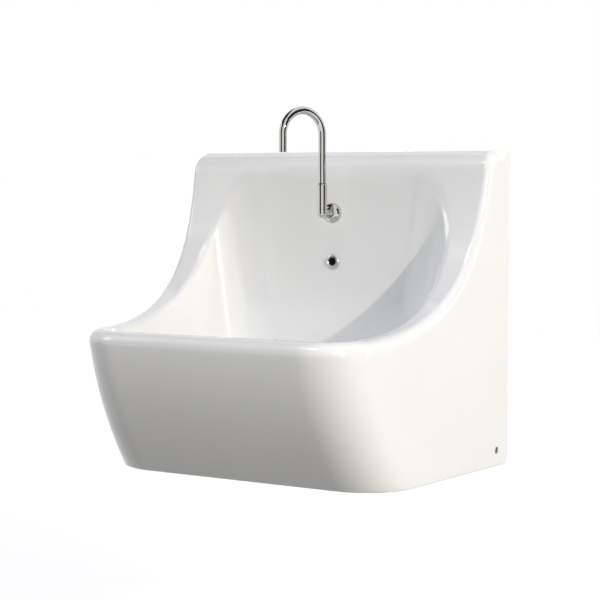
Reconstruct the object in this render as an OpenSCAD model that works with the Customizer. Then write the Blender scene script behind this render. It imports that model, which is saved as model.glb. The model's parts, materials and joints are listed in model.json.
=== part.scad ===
// Wall-hung ceramic scrub trough for one person, with a swivel swan-neck spout.
// Millimetres. X runs to the right, -Y away from the wall, +Z up. The origin is on the wall
// plane, in the middle of the four wall bolts of the hangers.

/* [Trough] */
// Overall width at the wall
trough_w = 800; // [700:5:1000]
// Height from the bottom edge to the top of the splashback
trough_h = 700; // [660:5:800]
// Height of the front rim above the bottom edge
rim_h = 316; // [300:1:340]
// How far the unrounded front rim stands out from the wall
front_proj = 640; // [580:5:700]
// How far the bottom edge of the apron stands out from the wall
base_proj = 490; // [450:5:530]
// Radius of the lower rear corners of the sides
rear_r = 16; // [8:1:24]
// Width across the unrounded front corners
front_w = 660; // [610:2:700]
// Plan radius of the two front corners
corner_r = 122; // [100:1:140]
// Outward bulge of the apron half way up
apron_bulge = 23; // [0:1:30]
// Thickness of the casting
wall_t = 14; // [11:0.5:16]

/* [Splashback and wings] */
// Depth of the flat top of the splashback
top_flat = 37; // [25:1:45]
// Radius of the roll along the top front edge
top_r = 54; // [50:1:64]
// Lean of the splashback face below the roll, in degrees
face_lean = 10; // [5:0.5:14]
// Pull of the sweep down the splashback
sweep_down = 256; // [200:2:280]
// Pull of the sweep back from the front rim
sweep_back = 262; // [220:2:300]
// Width of the rolled rim
rim_w = 56; // [54:1:66]
// Extra width of the wings where they leave the splashback
wing_w = 36; // [15:1:45]
// Width of the flare that lets the crease die out at the top
flare_w = 84; // [40:2:100]
// Outer edge radius of the rim and wings
edge_r = 29; // [24:1:31]
// Radius of the crease between the wings and the bowl
crease_r = 18; // [15:0.5:20]

/* [Bowl] */
// Depth of the bowl from the front rim to the waste
bowl_depth = 156; // [140:1:165]
// Fall of the floor to the waste
floor_fall = 15; // [8:1:20]
// Distance of the floor corner from the outer side face
floor_side = 90; // [84:1:110]
// Distance of the floor corner from the unrounded front rim
floor_front = 110; // [100:1:130]
// Plan radius between the back wall and the side walls of the bowl
back_corner_r = 130; // [90:2:150]
// Plan radius of the front corners of the bowl floor
floor_corner_r = 70; // [50:2:90]
// Size of the cove between the walls and the floor
cove = 50; // [30:1:60]
// Distance of the waste from the wall
waste_p = 290; // [260:2:320]

/* [Spout] */
// Depth of the spout centre below the top of the splashback
spout_drop = 141.5; // [125:0.5:170]
// Distance of the swivel axis from the splashback face
spout_stand = 48.5; // [44:0.5:60]
// Outer diameter of the swan-neck tube
tube_d = 18; // [17:0.5:19]
// Wall of the swan-neck tube
tube_t = 1; // [0.8:0.1:1.4]
// Centre-line radius of the swan neck
arch_r = 54; // [48:1:64]
// Height of the springing of the arch above the spout centre
arch_rise = 177.5; // [145:0.5:200]
// Length of the straight leg above the outlet
outlet_leg = 37.5; // [24:0.5:44]
// Direction of the outlet at rest, in degrees to the left of straight ahead
spout_turn = 24; // [0:0.5:45]
// Outer diameter of the swivel sleeve
sleeve_d = 21.5; // [21:0.25:23]
// Height of the top of the swivel sleeve above the spout centre
sleeve_top = 66; // [56:1:72]
// Running clearance of the spigot in the sleeve, on the radius
swivel_gap = 0.05; // [0.02:0.01:0.09]
// Diameter of the domed wall flange
flange_d = 47; // [44:0.5:54]
// Height of the dome of the wall flange
dome_h = 16; // [13:0.5:19]
// Diameter of the threaded tail and of the supply inlet
thread_d = 20.955; // [20:0.005:22]

/* [Sensor] */
// Depth of the sensor eye below the spout centre
sensor_drop = 111; // [100:1:125]
// Diameter of the sensor bezel
bezel_d = 33; // [30:0.5:36]
// Diameter of the black lens
lens_d = 19.5; // [17:0.5:21]
// Diameter of the sensor barrel
barrel_d = 24; // [22.5:0.5:25]

/* [Waste and trap] */
// Diameter of the waste flange
waste_flange_d = 68; // [62:1:70]
// Outer diameter of the waste tail
waste_tail_d = 47.8; // [46:0.1:48]
// Length of the waste tail below the bowl floor
waste_tail_l = 46; // [44:0.5:48]
// Outer diameter of the trap outlet pipe
outlet_d = 40; // [38:0.5:41]
// Outer diameter of the bottle of the trap
bottle_d = 76; // [70:1:84]
// Depth of the outlet pipe below the end of the waste tail
outlet_drop = 35; // [34:0.5:37]

/* [Supply] */
// Distance of the supply pipe from the wall
supply_p = 24; // [20:1:28]
// Outer diameter of the supply pipe
pipe_d = 15; // [14.5:0.1:15.4]
// Depth of the valve inlet below the spout centre
supply_drop = 228; // [215:1:245]
// Distance of the valve to the right of the spout
supply_x = 90; // [88:1:100]
// Centre-line radius of the bend of the supply pipe
bend_r = 45; // [40:1:48]

/* [Fixings] */
// Spacing of the two wall hangers
hanger_pitch = 420; // [360:5:460]
// Width of a wall hanger
hanger_w = 60; // [50:1:80]
// Thickness of the hanger steel
hanger_t = 4; // [3:0.25:5]
// Depth of the underside of the ledges below the top of the splashback
ledge_drop = 110; // [95:1:130]
// Diameter of the wall bolt holes
bolt_hole_d = 10; // [8:0.5:11]
// Vertical spacing of the wall bolt holes in a hanger
bolt_pitch = 40; // [30:1:44]
// Height of the side screws
side_screw_z = 35.5; // [30:0.5:44]
// Distance of the side screws from the wall
side_screw_p = 46.5; // [40:0.5:54]
// Diameter of the side screw holes
side_hole_d = 15; // [14:0.25:16]
// Diameter of the side screws
screw_d = 8; // [7:0.5:8]

/* [Hidden] */
$fn = 48;
thread_gap = 0.1;

// Heights above the bottom edge that follow from the sizes above
spout_z = trough_h - spout_drop;
arch_z = spout_z + arch_rise;
sensor_z = spout_z - sensor_drop;
inlet_z = spout_z - supply_drop;
ledge_z = trough_h - ledge_drop;
floor_z = rim_h - bowl_depth;
// The lower and upper wall bolts of a hanger, and the height of the origin between them
bolt_edge = 12;
bolt_top = 20;
plate_h = bolt_edge + bolt_pitch + bolt_top;
origin_z = ledge_z - bolt_top - bolt_pitch / 2;

// Counts of columns round the half loop, and of rings across the surface
n_top = 6;
n_roll = 6;
n_sweep = 13;
n_corner = 7;
n_front = 3;
half_n = n_top + n_roll + n_sweep + n_corner + n_front;
loop_n = 2 * half_n;
side_start = n_top;
corner_start = n_top + n_roll + n_sweep;
front_start = corner_start + n_corner;
// Sweep column whose panel line ends in the lower rear corner
rear_corner_k = side_start + n_roll + 6;

// Plan of the sides
toe = (trough_w - front_w) / 2 / front_proj;
side_k = sqrt(1 + toe * toe);
side_a = atan(toe);
flat_q = 0.2;
flare_len = 0.065;
blend_q = 0.35;
bend_t = 0.4;
face_p = top_flat + top_r * cos(face_lean);
face_z = trough_h - top_r + top_r * sin(face_lean);
rim_cp = front_proj - corner_r;
sweep_p = rim_cp + corner_r * sin(side_a);

function mix(a, b, t) = a + (b - a) * t;
function conic(a, b, c, t, w) = let (u = 1 - t, d = u * u + 2 * w * t * u + t * t)
    (a * u * u + b * 2 * w * t * u + c * t * t) / d;
function side_x(p, e = 0) = trough_w / 2 - toe * p - e * side_k;
function apron(z) = let (t = z / rim_h)
    mix(base_proj, front_proj, t) + 4 * apron_bulge * t * (1 - t);

// Side profile of the splashback and the sweep: q runs from 0 at the wall over the flat top and
// the roll to 1, and down the sweep to 2 at the front rim. e is the depth below the surface.
sweep_a = [face_p, face_z];
sweep_b = sweep_a + sweep_down * [sin(face_lean), -cos(face_lean)];
sweep_d = [sweep_p, rim_h];
sweep_c = sweep_d - [sweep_back, 0];
function sweep(t) = let (u = 1 - t)
    sweep_a * u * u * u + sweep_b * 3 * u * u * t + sweep_c * 3 * u * t * t + sweep_d * t * t * t;
function sweep_run(t) = let (u = 1 - t)
    (sweep_b - sweep_a) * u * u + (sweep_c - sweep_b) * 2 * u * t + (sweep_d - sweep_c) * t * t;
function sweep_in(t, e) = let (r = sweep_run(t), n = [-r[1], r[0]] / norm(r)) sweep(t) - n * e;
function roll_in(q, e) = let (a = mix(90, face_lean, (q - flat_q) / (1 - flat_q)), r = top_r - e)
    [top_flat + r * cos(a), trough_h - top_r + r * sin(a)];
function profile(q, e) = q <= flat_q ? [top_flat * q / flat_q, trough_h - e]
    : q <= 1 ? roll_in(q, e) : sweep_in(q - 1, e);
function on_profile(x, q, e) = let (s = profile(q, e)) [x, s[0], s[1]];

// Columns of the side: profile station of the outer edge and of the crease
function edge_q(k) = let (j = k - side_start)
    j <= 1 ? flat_q * j
    : j <= n_roll ? mix(flat_q, 1, (j - 1) / (n_roll - 1)) : 1 + (j - n_roll) / n_sweep;
crease_end = rim_w * sin(side_a) / 3 / sweep_back;
function crease_q(k) = let (q = edge_q(k), b = 1 + blend_q)
    (q < b ? 1 + blend_q * pow(q / b, b / blend_q) : q) - crease_end * pow(q / 2, 4);
function land_w(q) = let (t = max(q - 1, 0))
    rim_w + wing_w * (1 - t) * (1 - t) + flare_w * exp(-t / flare_len);
function crease_x(q, e) = side_x(profile(q, 0)[0]) - land_w(q) * side_k + e;
function edge_d(q, e) = let (u = 1 - min(q, 1), d = edge_r * (1 - u * u)) max(d - e, d / 8);

// Point of the apron or of a front corner: a is the plan angle of the corner, g the share of the
// way from the corner to the middle of the front
function corner_cx(z) = side_x(apron(z) - corner_r) - corner_r * side_k;
function apron_pt(a, g, z, e) = [(corner_cx(z) + (corner_r - e) * cos(a)) * (1 - g),
    apron(z) - corner_r + (corner_r - e) * sin(a), z];
function corner_a(k) = k >= front_start ? 90
    : mix(side_a, 90, (k - corner_start) / n_corner);
function front_g(k) = max(k - front_start, 0) / n_front;

// Outer edge of the surface, on the wall plane and round the bottom edge
split_q = edge_q(rear_corner_k);
base_side_p = base_proj - corner_r;
function rear_pt(p, z, e) = [side_x(p, e), p, z];
function rim_start(k, e) = let (q = edge_q(k), x = q / split_q, c = rear_r * (1 - cos(45)))
    k == rear_corner_k - 1 ? rear_pt(0, rear_r, e)
    : k == rear_corner_k ? rear_pt(c, c, e)
    : k == rear_corner_k + 1 ? rear_pt(rear_r, 0, e)
    : q <= split_q
    ? [side_x(0, e), 0, (trough_h - e) * (1 - x / 4 - pow(x, 5) * 3 / 4)]
    : let (p = (base_side_p + (corner_r - e) * sin(side_a)) * (q - split_q) / (2 - split_q))
    [side_x(p, e), p, 0];

// Sharp outer edge, sharp crease and floor corner of each column
function edge_pt(k, e) = k < side_start ? [side_x(0, e) * k / n_top, 0, trough_h - e]
    : k < corner_start ? let (s = profile(edge_q(k), e)) [side_x(s[0], e), s[0], s[1]]
    : let (b = apron_pt(corner_a(k), front_g(k), rim_h, e)) [b[0], b[1], rim_h - e];
function crease_pt(k, e) = k < side_start ? on_profile(crease_x(1, e) * k / n_top, 1, e)
    : k <= corner_start ? on_profile(crease_x(crease_q(k), e), crease_q(k), e)
    : let (b = apron_pt(corner_a(k), front_g(k), rim_h, rim_w - e)) [b[0], b[1], rim_h - e];

back_cp = face_p + back_corner_r;
back_cx = side_x(back_cp) - (floor_side + back_corner_r) * side_k;
front_cp = front_proj - floor_front - floor_corner_r;
front_cx = side_x(front_cp) - (floor_side + floor_corner_r) * side_k;
function round_pt(cx, cp, r, a) = [cx + r * cos(a), cp + r * sin(a), floor_z + floor_fall];
function floor_side_pt(k, h) = let (t = crease_q(k) - 1)
    t <= bend_t
    ? round_pt(back_cx, back_cp, back_corner_r + h, mix(-90, side_a, pow(t / bend_t, 0.8)))
    : let (p0 = profile(1 + bend_t, 0)[0], p1 = profile(crease_q(corner_start), 0)[0],
        w = (profile(t + 1, 0)[0] - p0) / (p1 - p0))
    mix(round_pt(back_cx, back_cp, back_corner_r + h, side_a),
        round_pt(front_cx, front_cp, floor_corner_r + h, side_a), w);
function floor_top_pt(k, h) = k < side_start
    ? [back_cx * k / n_top, face_p - h, floor_z + floor_fall]
    : k <= corner_start ? floor_side_pt(k, h)
    : let (b = round_pt(front_cx, front_cp, floor_corner_r + h, corner_a(k)))
    [b[0] * (1 - front_g(k)), b[1], b[2]];
function floor_pt(k, e) = floor_top_pt(k, e * cos(face_lean)) - [0, 0, e];

// Ring of the flat round the waste
waste_flat_r = waste_flange_d / 2 + 12;
waste_c = [0, waste_p, floor_z];
function waste_pt(k, e) = let (d = floor_pt(k, 0) - waste_c, h = [d[0], d[1], 0])
    waste_c - [0, 0, e] + h / norm(h) * waste_flat_r;

// Land between the outer edge and the crease, at share m of the way
function land_pt(k, m, e) = k < side_start
    ? on_profile(mix(edge_pt(k, e)[0], crease_pt(k, e)[0], m), m, e)
    : k <= corner_start
    ? on_profile(mix(edge_pt(k, e)[0], crease_pt(k, e)[0], m),
        mix(edge_q(k), crease_q(k), m), e)
    : mix(edge_pt(k, e), crease_pt(k, e), m);
function land_len(k, e) = k < side_start ? top_flat + top_r * 1.4
    : norm(edge_pt(k, e) - crease_pt(k, e));
function edge_m(k, e) = k <= side_start ? 0
    : k <= corner_start ? min(edge_d(edge_q(k), e) / land_len(k, e), 0.6)
    : edge_d(2, e) / land_len(k, e);
function crease_m(k, e) = 1 - max(crease_r - e, 4) / land_len(k, e);

// Lowest point of the rounded outer edge
function edge_low(k, e) = let (d = edge_d(edge_q(min(k, corner_start)), e))
    k < corner_start ? let (s = profile(edge_q(k), e + d)) [side_x(s[0], e), s[0], s[1]]
    : apron_pt(corner_a(k), front_g(k), rim_h - e - d, e);
function panel_pt(k, m, e) = k < corner_start ? mix(rim_start(k, e), edge_low(k, e), m)
    : apron_pt(corner_a(k), front_g(k), m * (rim_h - e - edge_d(2, e)), e);

// Shares of the steps of one column: [kind, share]
function steps(panels, bends, lands, creases, walls, coves, floors) = concat(
    [for (i = [0 : panels - 1]) [0, i / panels]],
    [for (i = [0 : bends - 1]) [1, i / bends]],
    [for (i = [0 : lands - 1]) [2, i / lands]],
    [for (i = [0 : creases - 1]) [3, i / creases]],
    [for (i = [0 : walls - 1]) [4, i / walls]],
    [for (i = [0 : coves - 1]) [5, i / coves]],
    [for (i = [0 : floors]) [6, i / floors]]);
function toward(a, b, d) = a + (b - a) * d / norm(b - a);
function wall_d(k, e) = max(crease_r - e, 4);
function cove_d(e) = cove + e * 0.8;
function column_pt(k, s, e) = let (c = crease_pt(k, e), d = floor_pt(k, e), w = waste_pt(k, e))
    s[0] == 0 ? panel_pt(k, s[1], e)
    : s[0] == 1 ? conic(edge_low(k, e), edge_pt(k, e), land_pt(k, edge_m(k, e), e), s[1], 0.7)
    : s[0] == 2 ? land_pt(k, mix(edge_m(k, e), crease_m(k, e), s[1]), e)
    : s[0] == 3 ? conic(land_pt(k, crease_m(k, e), e), c, toward(c, d, wall_d(k, e)), s[1], 0.7)
    : s[0] == 4 ? mix(toward(c, d, wall_d(k, e)), toward(d, c, cove_d(e)), s[1])
    : s[0] == 5 ? conic(toward(d, c, cove_d(e)), d, toward(d, w, cove_d(e)), s[1], 0.75)
    : mix(toward(d, w, cove_d(e)), w, s[1]);

outer_steps = steps(3, 4, 6, 3, 2, 4, 2);
inner_steps = steps(1, 2, 4, 1, 2, 2, 1);
// Rings below this one meet in one point on the columns of the top
outer_fold = 7;
inner_fold = 3;

function flip(v, side) = [v[0] * side, -v[1], v[2]];
function ring(s, e) = concat(
    [for (k = [0 : half_n]) flip(column_pt(k, s, e), 1)],
    [for (k = [half_n - 1 : -1 : 1]) flip(column_pt(k, s, e), -1)]);
function on_top(i) = i <= side_start || i >= loop_n - side_start;
function folded(r, i, fold) = (r < fold && on_top(i) ? fold : r) * loop_n + i % loop_n;
function cell(r, i, fold) = let (j = (i + 1) % loop_n,
    a = folded(r, i, fold), b = folded(r, j, fold),
    c = folded(r + 1, j, fold), d = folded(r + 1, i, fold))
    concat(a == b || a == d ? [] : [[a, b, d]], b == c || c == d ? [] : [[b, c, d]]);
function skin(rings, fold) = [for (r = [0 : rings - 2], i = [0 : loop_n - 1],
    f = cell(r, i, fold)) f];

module casting() {
    outer = [for (s = outer_steps) ring(s, 0)];
    inner = [for (s = inner_steps) ring(s, wall_t)];
    n_out = len(outer) * loop_n;
    points = concat([for (r = outer, v = r) v], [for (r = inner, v = r) v]);
    out_faces = skin(len(outer), outer_fold);
    in_faces = [for (f = skin(len(inner), inner_fold)) [f[2] + n_out, f[1] + n_out, f[0] + n_out]];
    edge_faces = [for (i = [0 : loop_n - 1]) let (j = (i + 1) % loop_n,
        a = folded(0, i, outer_fold), b = folded(0, j, outer_fold),
        c = folded(0, j, inner_fold) + n_out, d = folded(0, i, inner_fold) + n_out)
        each [[b, a, d], [b, d, c]]];
    out_cap = [[for (i = [0 : loop_n - 1]) (len(outer) - 1) * loop_n + i]];
    in_cap = [[for (i = [loop_n - 1 : -1 : 0]) n_out + (len(inner) - 1) * loop_n + i]];
    polyhedron(points, concat(out_faces, in_faces, edge_faces, out_cap, in_cap), convexity = 10);
}

// Back of the splashback, inside the cavity
back_p = face_p - wall_t * cos(face_lean);

// The modules work from the bottom edge up: this moves a finished node to the origin
module on_wall() {
    translate([0, 0, -origin_z]) children();
}

// A cylinder whose axis runs away from the wall, from p0 to p1
module out_rod(p0, p1, z, r) {
    translate([0, -p0, z]) rotate([90, 0, 0]) cylinder(r = r, h = p1 - p0);
}
module out_ring(p0, p1, z, r, bore) {
    difference() {
        out_rod(p0, p1, z, r);
        out_rod(p0 - 1, p1 + 1, z, bore);
    }
}
module up_ring(z0, z1, r, bore) {
    difference() {
        translate([0, 0, z0]) cylinder(r = r, h = z1 - z0);
        translate([0, 0, z0 - 1]) cylinder(r = bore, h = z1 - z0 + 2);
    }
}
module hexagon(across, h) {
    cylinder(r = across / sqrt(3), h = h, $fn = 6);
}

// Frame of a side panel: +X is the outward normal, the outer face lies at x = 0
module at_side(side) {
    mirror([side < 0 ? 1 : 0, 0, 0]) translate([trough_w / 2, 0, 0]) rotate([0, 0, -side_a])
        children();
}
module side_rod(x0, x1, r) {
    translate([x0, -side_screw_p, side_screw_z]) rotate([0, 90, 0])
        cylinder(r = r, h = x1 - x0);
}

// Casting with its ledges and holes
spout_hole_d = thread_d + 7;
sensor_hole_d = barrel_d + 1.2;
waste_hole_d = waste_tail_d + 2.2;
recess_depth = 5;
recess_z = floor_z - recess_depth;
ledge_h = 24;
ledge_w = hanger_w + 30;
ledge_in = 2.5;
slot_p = 18;
slot_w = 12;
slot_h = 12;
module ledge(side) {
    translate([side * hanger_pitch / 2 - ledge_w / 2, 0, ledge_z]) difference() {
        translate([0, ledge_in - face_p, 0]) cube([ledge_w, face_p - 2 * ledge_in, ledge_h]);
        translate([-1, -slot_p - slot_w, -1]) cube([ledge_w + 2, slot_w, slot_h + 1]);
    }
}
module trough() {
    color("white") on_wall() difference() {
        union() {
            casting();
            ledge(-1);
            ledge(1);
        }
        out_rod(back_p - 10, face_p + 10, spout_z, spout_hole_d / 2);
        out_rod(back_p - 10, face_p + 10, sensor_z, sensor_hole_d / 2);
        translate([0, -waste_p, 0]) {
            translate([0, 0, floor_z - 2 * wall_t]) cylinder(d = waste_hole_d, h = 3 * wall_t);
            translate([0, 0, recess_z]) cylinder(d = waste_flange_d + 2, h = 2 * wall_t);
        }
        for (side = [-1, 1]) at_side(side) side_rod(-2 * wall_t, wall_t, side_hole_d / 2);
    }
}

// Elbow, sleeve and swan neck of the spout
gasket_t = 1.2;
seat_p = face_p + gasket_t;
axis_p = face_p + spout_stand;
tail_r = thread_d / 2;
tail_end_p = supply_p + 14;
arm_r = 9.5;
seat_r = 17;
seat_t = 4;
nipple_r = 7;
nipple_h = 8.5;
water_r = 5.5;
elbow_flat = arm_r + 0.5;
sleeve_r = sleeve_d / 2;
sleeve_z = spout_z + elbow_flat;
sleeve_end = spout_z + sleeve_top;
tube_r = tube_d / 2;
tube_bore = tube_r - tube_t;
bearing_t = 1.7;
tube_z = sleeve_end + bearing_t;
spigot_r = tube_bore + 0.4;
web_z = sleeve_z + nipple_h + 0.5;
bore_z = web_z + 3;
spigot_z = bore_z + 0.5;
groove_d = 1.6;
ring_h = 2.4;
ring_z = [spigot_z + 6, spigot_z + 18];
lock_z = sleeve_end - 18;
lock_h = 4.6;
screw_r = 2;

module spout_elbow() {
    color("silver") on_wall() difference() {
        union() {
            out_rod(tail_end_p, seat_p, spout_z, tail_r);
            out_rod(seat_p, seat_p + seat_t, spout_z, seat_r);
            out_rod(seat_p + seat_t, axis_p, spout_z, arm_r);
            translate([0, -axis_p, spout_z]) {
                intersection() {
                    sphere(r = sleeve_r);
                    translate([0, 0, -40]) cylinder(r = 30, h = 40);
                }
                cylinder(r = sleeve_r, h = elbow_flat);
                cylinder(r = nipple_r, h = elbow_flat + nipple_h);
            }
        }
        out_rod(tail_end_p - 1, axis_p, spout_z, water_r);
        translate([0, -axis_p, spout_z]) cylinder(r = water_r, h = 40);
    }
}
module spout_sleeve() {
    color("silver") on_wall() translate([0, -axis_p, 0]) difference() {
        translate([0, 0, sleeve_z]) cylinder(r = sleeve_r, h = sleeve_end - sleeve_z);
        translate([0, 0, sleeve_z - 1]) cylinder(r = nipple_r + thread_gap, h = web_z - sleeve_z + 1);
        translate([0, 0, sleeve_z]) cylinder(r = water_r, h = sleeve_top);
        translate([0, 0, bore_z]) cylinder(r = spigot_r + swivel_gap, h = sleeve_top);
        translate([0, 0, lock_z + lock_h / 2]) rotate([-90, 0, 0])
            cylinder(r = screw_r + thread_gap, h = sleeve_r + 1);
    }
}
module grub_screw() {
    tip = spigot_r - groove_d + 0.3;
    color("dimgray") on_wall() translate([0, tip - axis_p, lock_z + lock_h / 2]) rotate([-90, 0, 0])
        difference() {
            cylinder(r = screw_r, h = sleeve_r - 0.4 - tip);
            translate([0, 0, sleeve_r - 2 - tip]) hexagon(2, 4);
        }
}
module spout_spigot() {
    color("goldenrod") on_wall() translate([0, -axis_p, 0]) difference() {
        union() {
            translate([0, 0, spigot_z]) cylinder(r = spigot_r, h = sleeve_end - spigot_z);
            translate([0, 0, sleeve_end - 1])
                cylinder(r = tube_bore - thread_gap, h = bearing_t + 16);
        }
        translate([0, 0, spigot_z - 1]) cylinder(r = water_r - 0.5, h = sleeve_top);
        for (z = ring_z) up_ring(z, z + ring_h, spigot_r + 1, spigot_r - groove_d);
        up_ring(lock_z, lock_z + lock_h, spigot_r + 1, spigot_r - groove_d);
    }
}
module spout_o_rings() {
    color("black") on_wall() translate([0, -axis_p, 0]) for (z = ring_z)
        up_ring(z + 0.2, z + ring_h - 0.2, spigot_r + 0.02, spigot_r - groove_d + 0.02);
}
module bearing_ring() {
    color("black") on_wall() translate([0, -axis_p, 0])
        up_ring(sleeve_end + 0.3, tube_z, tube_r - 0.1, tube_bore);
}

// Frame of the swan neck: +X runs from the swivel axis to the outlet
module at_spout() {
    translate([0, -axis_p, 0]) rotate([0, 0, -90 - spout_turn]) children();
}
module swan_neck(r, reach) {
    translate([0, 0, tube_z - reach]) cylinder(r = r, h = arch_z - tube_z + reach);
    translate([arch_r, 0, arch_z]) rotate([90, 0, 0]) rotate_extrude(angle = 180)
        translate([arch_r, 0]) circle(r = r);
    translate([2 * arch_r, 0, tip_z - reach]) cylinder(r = r, h = outlet_leg + reach);
}
tip_z = arch_z - outlet_leg;
lip_h = 2.2;
nozzle_bore = tube_bore - 1.2;
module spout_tube() {
    color("silver") on_wall() at_spout() difference() {
        swan_neck(tube_r, 0);
        swan_neck(tube_bore, 1);
    }
}
module outlet_nozzle() {
    color("silver") on_wall() at_spout() translate([2 * arch_r, 0, tip_z]) difference() {
        union() {
            translate([0, 0, -lip_h]) cylinder(r = tube_r + 0.3, h = lip_h);
            cylinder(r = tube_bore - thread_gap, h = 8);
        }
        translate([0, 0, -lip_h - 1]) cylinder(r = nozzle_bore, h = lip_h + 12);
    }
}
module flow_straightener() {
    r = nozzle_bore - 0.05;
    color("gray") on_wall() at_spout() translate([2 * arch_r, 0, tip_z - lip_h + 0.8]) difference() {
        cylinder(r = r, h = 5);
        for (n = [0 : 6]) rotate([0, 0, n * 60])
            translate([n == 6 ? 0 : r * 0.62, 0, -1]) cylinder(r = r * 0.22, h = 7);
    }
}

// Flange and fastening of the spout
module wall_flange() {
    hole = arm_r + 0.3;
    shell = 1.6;
    lip = 2.5;
    reach = flange_d / 2 - hole;
    top = dome_h - lip;
    color("silver") on_wall() translate([0, -seat_p, spout_z]) rotate([90, 0, 0]) rotate_extrude()
        polygon(concat([[flange_d / 2 - shell, 0], [flange_d / 2, 0]],
            [for (a = [0 : 9 : 90]) [hole + reach * cos(a), lip + top * sin(a)]],
            [for (a = [90 : -9 : 0]) [hole + (reach - shell) * cos(a),
                lip + (top - shell) * sin(a)]]));
}
module flange_gasket() {
    color("black") on_wall() out_ring(face_p, seat_p, spout_z, flange_d / 2 - 1, tail_r + 0.3);
}
module tail_gasket() {
    color("black") on_wall() out_ring(back_p - 2, back_p, spout_z, 21, tail_r + 0.3);
}
module tail_washer() {
    color("silver") on_wall() out_ring(back_p - 3.5, back_p - 2, spout_z, 20.5, tail_r + 0.3);
}
tail_nut_h = 8;
module tail_backnut() {
    color("goldenrod") on_wall() difference() {
        translate([0, 3.5 + tail_nut_h - back_p, spout_z]) rotate([90, 0, 0])
            hexagon(32, tail_nut_h);
        out_rod(back_p - 20, back_p, spout_z, tail_r + thread_gap);
    }
}

// Supply behind the splashback: elbow to the right, bent pipe and solenoid valve
socket_r = 10.9;
pipe_r = pipe_d / 2;
pipe_bore = pipe_r - 0.7;
pipe_in = 14;
elbow_r = 13;
elbow_l = 29;
valve_l = 84;
valve_end = inlet_z + valve_l;
valve_z = inlet_z + 50;
module at_supply(z) {
    translate([supply_x, -supply_p, z]) children();
}
// Frame of the elbow: +Z runs to the right from the middle of the elbow
module at_elbow() {
    translate([0, -supply_p, spout_z]) rotate([0, 90, 0]) children();
}
module supply_elbow() {
    color("goldenrod") on_wall() difference() {
        union() {
            at_elbow() sphere(r = elbow_r);
            out_rod(supply_p, tail_end_p + 12, spout_z, elbow_r + 1);
            at_elbow() cylinder(r = socket_r, h = elbow_l);
        }
        out_rod(tail_end_p, tail_end_p + 20, spout_z, tail_r + thread_gap);
        out_rod(supply_p, tail_end_p + 1, spout_z, water_r);
        at_elbow() {
            cylinder(r = water_r, h = elbow_l);
            translate([0, 0, elbow_l - pipe_in]) cylinder(r = pipe_r + thread_gap, h = pipe_in + 1);
        }
    }
}
module pipe_run(r, reach) {
    start = elbow_l - pipe_in - reach;
    foot = valve_end - pipe_in - reach;
    at_elbow() translate([0, 0, start]) cylinder(r = r, h = supply_x - bend_r - start);
    translate([supply_x - bend_r, -supply_p, spout_z - bend_r]) rotate([90, 0, 0])
        rotate_extrude(angle = 90) translate([bend_r, 0]) circle(r = r);
    at_supply(foot) cylinder(r = r, h = spout_z - bend_r - foot);
}
module supply_pipe() {
    color("peru") on_wall() difference() {
        pipe_run(pipe_r, 0);
        pipe_run(pipe_bore, 1);
    }
}
olive_h = 4.8;
module olive() {
    rotate_extrude() polygon([[pipe_r, 0], [pipe_r + 1, 0], [pipe_r + 2.4, olive_h / 2],
        [pipe_r + 1, olive_h], [pipe_r, olive_h]]);
}
module pipe_olives() {
    color("goldenrod") on_wall() {
        at_elbow() translate([0, 0, elbow_l]) olive();
        at_supply(valve_end) olive();
    }
}
nut_across = 1.7 * pipe_d;
nut_back = 7;
nut_front = 9;
module pipe_nut() {
    difference() {
        translate([0, 0, -nut_back]) hexagon(nut_across, nut_back + nut_front);
        translate([0, 0, -nut_back - 1])
            cylinder(r = socket_r + thread_gap, h = nut_back + olive_h + 1);
        cylinder(r = pipe_r + 0.2, h = 2 * nut_front);
    }
}
module pipe_nuts() {
    color("goldenrod") on_wall() {
        at_elbow() translate([0, 0, elbow_l]) pipe_nut();
        at_supply(valve_end) pipe_nut();
    }
}
inlet_l = 18;
hex_h = 9;
chamber_l = 40;
mouth_r = 8;
mouth_l = 12;
boss_r = 10;
boss_x = 22;
stem_r = 4;
coil_r = 14.5;
coil_l = 33;
coil_nut_h = 4;
// Frame of the valve coil: +Z runs from the valve to the left
module at_coil(z) {
    at_supply(valve_z) mirror([1, 0, 0]) rotate([0, 90, 0]) translate([0, 0, z]) children();
}
module valve_body() {
    color("goldenrod") on_wall() difference() {
        union() {
            at_supply(inlet_z) cylinder(r = tail_r, h = inlet_l);
            at_supply(inlet_z + inlet_l) hexagon(2 * elbow_r + 1, hex_h);
            at_supply(inlet_z + inlet_l + hex_h) cylinder(r = elbow_r, h = chamber_l);
            at_supply(valve_z) cylinder(r = socket_r, h = valve_end - valve_z);
            at_coil(0) cylinder(r = boss_r, h = boss_x);
            at_coil(0) cylinder(r = stem_r, h = boss_x + coil_l + coil_nut_h + 2);
        }
        at_supply(inlet_z - 1) cylinder(r = water_r, h = valve_l);
        at_supply(inlet_z - 1) cylinder(r = mouth_r, h = mouth_l + 1);
        at_supply(valve_end - pipe_in) cylinder(r = pipe_r + thread_gap, h = pipe_in + 1);
    }
}
module valve_coil() {
    color("dimgray") on_wall() at_coil(boss_x) difference() {
        union() {
            cylinder(r = coil_r, h = coil_l);
            translate([-20, -7, 6]) cube([14, 14, 18]);
        }
        translate([0, 0, -1]) cylinder(r = stem_r + thread_gap, h = coil_l + 2);
    }
}
module coil_nut() {
    color("silver") on_wall() at_coil(boss_x + coil_l) difference() {
        hexagon(13, coil_nut_h);
        translate([0, 0, -1]) cylinder(r = stem_r + thread_gap, h = coil_nut_h + 2);
    }
}

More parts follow.
